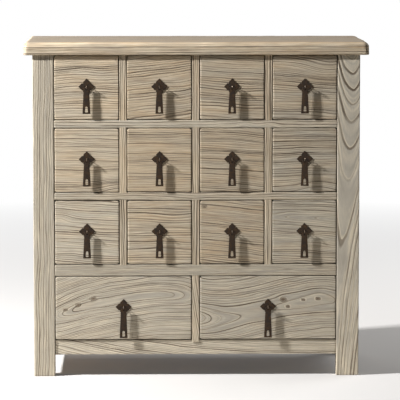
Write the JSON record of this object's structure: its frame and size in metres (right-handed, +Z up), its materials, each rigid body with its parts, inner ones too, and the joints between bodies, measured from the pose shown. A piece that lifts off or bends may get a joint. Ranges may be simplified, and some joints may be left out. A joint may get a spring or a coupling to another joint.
{
  "type": "chest of drawers",
  "caption": "Weathered wooden chest on straight corner posts, rows of small square drawers over wide ones, with hanging iron strip pulls on square plates.",
  "frame": {"origin": "on the floor, under the middle of the whole's box, pulls included", "axes": "+X to the right seen from the front, +Y towards the back, +Z up"},
  "size_m": [0.973, 0.407, 0.95],
  "materials": {
    "weathered_wood": "bleached, wire-brushed and worn elm, unvarnished",
    "inner_wood": "sawn softwood, bare",
    "black_iron": "forged iron, dark brown-black"
  },
  "bodies": {
    "carcase": {"top_board": "weathered_wood", "front_left_post": "weathered_wood", "front_right_post": "weathered_wood", "rear_left_post": "weathered_wood", "rear_right_post": "weathered_wood", "front_rail_upper": "weathered_wood", "front_rail_middle": "weathered_wood", "front_rail_lower": "weathered_wood", "front_rail_bottom": "weathered_wood", "dividers": "weathered_wood", "back_rails": "inner_wood", "side_rails": "weathered_wood", "left_side_panel": "weathered_wood", "right_side_panel": "weathered_wood", "back_panel": "inner_wood", "drawer_runners": "inner_wood", "drawer_guides": "inner_wood", "drawer_stops": "inner_wood"},
    "sliding_drawer_one_1": {"drawer_one_1": "weathered_wood", "handle_plate_one_1": "black_iron"},
    "hanging_pull_one_1": {"pull_one_1": "black_iron"},
    "sliding_drawer_one_2": {"drawer_one_2": "weathered_wood", "handle_plate_one_2": "black_iron"},
    "hanging_pull_one_2": {"pull_one_2": "black_iron"},
    "sliding_drawer_one_3": {"drawer_one_3": "weathered_wood", "handle_plate_one_3": "black_iron"},
    "hanging_pull_one_3": {"pull_one_3": "black_iron"},
    "sliding_drawer_one_4": {"drawer_one_4": "weathered_wood", "handle_plate_one_4": "black_iron"},
    "hanging_pull_one_4": {"pull_one_4": "black_iron"},
    "sliding_drawer_two_1": {"drawer_two_1": "weathered_wood", "handle_plate_two_1": "black_iron"},
    "hanging_pull_two_1": {"pull_two_1": "black_iron"},
    "sliding_drawer_two_2": {"drawer_two_2": "weathered_wood", "handle_plate_two_2": "black_iron"},
    "hanging_pull_two_2": {"pull_two_2": "black_iron"},
    "sliding_drawer_two_3": {"drawer_two_3": "weathered_wood", "handle_plate_two_3": "black_iron"},
    "hanging_pull_two_3": {"pull_two_3": "black_iron"},
    "sliding_drawer_two_4": {"drawer_two_4": "weathered_wood", "handle_plate_two_4": "black_iron"},
    "hanging_pull_two_4": {"pull_two_4": "black_iron"},
    "sliding_drawer_three_1": {"drawer_three_1": "weathered_wood", "handle_plate_three_1": "black_iron"},
    "hanging_pull_three_1": {"pull_three_1": "black_iron"},
    "sliding_drawer_three_2": {"drawer_three_2": "weathered_wood", "handle_plate_three_2": "black_iron"},
    "hanging_pull_three_2": {"pull_three_2": "black_iron"},
    "sliding_drawer_three_3": {"drawer_three_3": "weathered_wood", "handle_plate_three_3": "black_iron"},
    "hanging_pull_three_3": {"pull_three_3": "black_iron"},
    "sliding_drawer_three_4": {"drawer_three_4": "weathered_wood", "handle_plate_three_4": "black_iron"},
    "hanging_pull_three_4": {"pull_three_4": "black_iron"},
    "sliding_drawer_four_1": {"drawer_four_1": "weathered_wood", "handle_plate_four_1": "black_iron"},
    "hanging_pull_four_1": {"pull_four_1": "black_iron"},
    "sliding_drawer_four_2": {"drawer_four_2": "weathered_wood", "handle_plate_four_2": "black_iron"},
    "hanging_pull_four_2": {"pull_four_2": "black_iron"}
  },
  "joints": [
    {"name": "drawer_slide_one_1", "type": "slide", "parent": "carcase", "child": "sliding_drawer_one_1", "axis": [0, -1, 0], "range_m": [0, 0.25]},
    {"name": "pull_hinge_one_1", "type": "hinge", "parent": "sliding_drawer_one_1", "child": "hanging_pull_one_1", "pos_m": [-0.3095, -0.1969, 0.8221], "axis": [-1, 0, 0], "range_deg": [-4, 110]},
    {"name": "drawer_slide_one_2", "type": "slide", "parent": "carcase", "child": "sliding_drawer_one_2", "axis": [0, -1, 0], "range_m": [0, 0.25]},
    {"name": "pull_hinge_one_2", "type": "hinge", "parent": "sliding_drawer_one_2", "child": "hanging_pull_one_2", "pos_m": [-0.1045, -0.1969, 0.8221], "axis": [-1, 0, 0], "range_deg": [-4, 110]},
    {"name": "drawer_slide_one_3", "type": "slide", "parent": "carcase", "child": "sliding_drawer_one_3", "axis": [0, -1, 0], "range_m": [0, 0.25]},
    {"name": "pull_hinge_one_3", "type": "hinge", "parent": "sliding_drawer_one_3", "child": "hanging_pull_one_3", "pos_m": [0.1005, -0.1969, 0.8221], "axis": [-1, 0, 0], "range_deg": [-4, 110]},
    {"name": "drawer_slide_one_4", "type": "slide", "parent": "carcase", "child": "sliding_drawer_one_4", "axis": [0, -1, 0], "range_m": [0, 0.25]},
    {"name": "pull_hinge_one_4", "type": "hinge", "parent": "sliding_drawer_one_4", "child": "hanging_pull_one_4", "pos_m": [0.3055, -0.1969, 0.8221], "axis": [-1, 0, 0], "range_deg": [-4, 110]},
    {"name": "drawer_slide_two_1", "type": "slide", "parent": "carcase", "child": "sliding_drawer_two_1", "axis": [0, -1, 0], "range_m": [0, 0.25]},
    {"name": "pull_hinge_two_1", "type": "hinge", "parent": "sliding_drawer_two_1", "child": "hanging_pull_two_1", "pos_m": [-0.3095, -0.1969, 0.6171], "axis": [-1, 0, 0], "range_deg": [-4, 110]},
    {"name": "drawer_slide_two_2", "type": "slide", "parent": "carcase", "child": "sliding_drawer_two_2", "axis": [0, -1, 0], "range_m": [0, 0.25]},
    {"name": "pull_hinge_two_2", "type": "hinge", "parent": "sliding_drawer_two_2", "child": "hanging_pull_two_2", "pos_m": [-0.1045, -0.1969, 0.6171], "axis": [-1, 0, 0], "range_deg": [-4, 110]},
    {"name": "drawer_slide_two_3", "type": "slide", "parent": "carcase", "child": "sliding_drawer_two_3", "axis": [0, -1, 0], "range_m": [0, 0.25]},
    {"name": "pull_hinge_two_3", "type": "hinge", "parent": "sliding_drawer_two_3", "child": "hanging_pull_two_3", "pos_m": [0.1005, -0.1969, 0.6171], "axis": [-1, 0, 0], "range_deg": [-4, 110]},
    {"name": "drawer_slide_two_4", "type": "slide", "parent": "carcase", "child": "sliding_drawer_two_4", "axis": [0, -1, 0], "range_m": [0, 0.25]},
    {"name": "pull_hinge_two_4", "type": "hinge", "parent": "sliding_drawer_two_4", "child": "hanging_pull_two_4", "pos_m": [0.3055, -0.1969, 0.6171], "axis": [-1, 0, 0], "range_deg": [-4, 110]},
    {"name": "drawer_slide_three_1", "type": "slide", "parent": "carcase", "child": "sliding_drawer_three_1", "axis": [0, -1, 0], "range_m": [0, 0.25]},
    {"name": "pull_hinge_three_1", "type": "hinge", "parent": "sliding_drawer_three_1", "child": "hanging_pull_three_1", "pos_m": [-0.3095, -0.1969, 0.4121], "axis": [-1, 0, 0], "range_deg": [-4, 110]},
    {"name": "drawer_slide_three_2", "type": "slide", "parent": "carcase", "child": "sliding_drawer_three_2", "axis": [0, -1, 0], "range_m": [0, 0.25]},
    {"name": "pull_hinge_three_2", "type": "hinge", "parent": "sliding_drawer_three_2", "child": "hanging_pull_three_2", "pos_m": [-0.1045, -0.1969, 0.4121], "axis": [-1, 0, 0], "range_deg": [-4, 110]},
    {"name": "drawer_slide_three_3", "type": "slide", "parent": "carcase", "child": "sliding_drawer_three_3", "axis": [0, -1, 0], "range_m": [0, 0.25]},
    {"name": "pull_hinge_three_3", "type": "hinge", "parent": "sliding_drawer_three_3", "child": "hanging_pull_three_3", "pos_m": [0.1005, -0.1969, 0.4121], "axis": [-1, 0, 0], "range_deg": [-4, 110]},
    {"name": "drawer_slide_three_4", "type": "slide", "parent": "carcase", "child": "sliding_drawer_three_4", "axis": [0, -1, 0], "range_m": [0, 0.25]},
    {"name": "pull_hinge_three_4", "type": "hinge", "parent": "sliding_drawer_three_4", "child": "hanging_pull_three_4", "pos_m": [0.3055, -0.1969, 0.4121], "axis": [-1, 0, 0], "range_deg": [-4, 110]},
    {"name": "drawer_slide_four_1", "type": "slide", "parent": "carcase", "child": "sliding_drawer_four_1", "axis": [0, -1, 0], "range_m": [0, 0.25]},
    {"name": "pull_hinge_four_1", "type": "hinge", "parent": "sliding_drawer_four_1", "child": "hanging_pull_four_1", "pos_m": [-0.207, -0.1969, 0.1961], "axis": [-1, 0, 0], "range_deg": [-4, 110]},
    {"name": "drawer_slide_four_2", "type": "slide", "parent": "carcase", "child": "sliding_drawer_four_2", "axis": [0, -1, 0], "range_m": [0, 0.25]},
    {"name": "pull_hinge_four_2", "type": "hinge", "parent": "sliding_drawer_four_2", "child": "hanging_pull_four_2", "pos_m": [0.203, -0.1969, 0.1961], "axis": [-1, 0, 0], "range_deg": [-4, 110]}
  ]
}
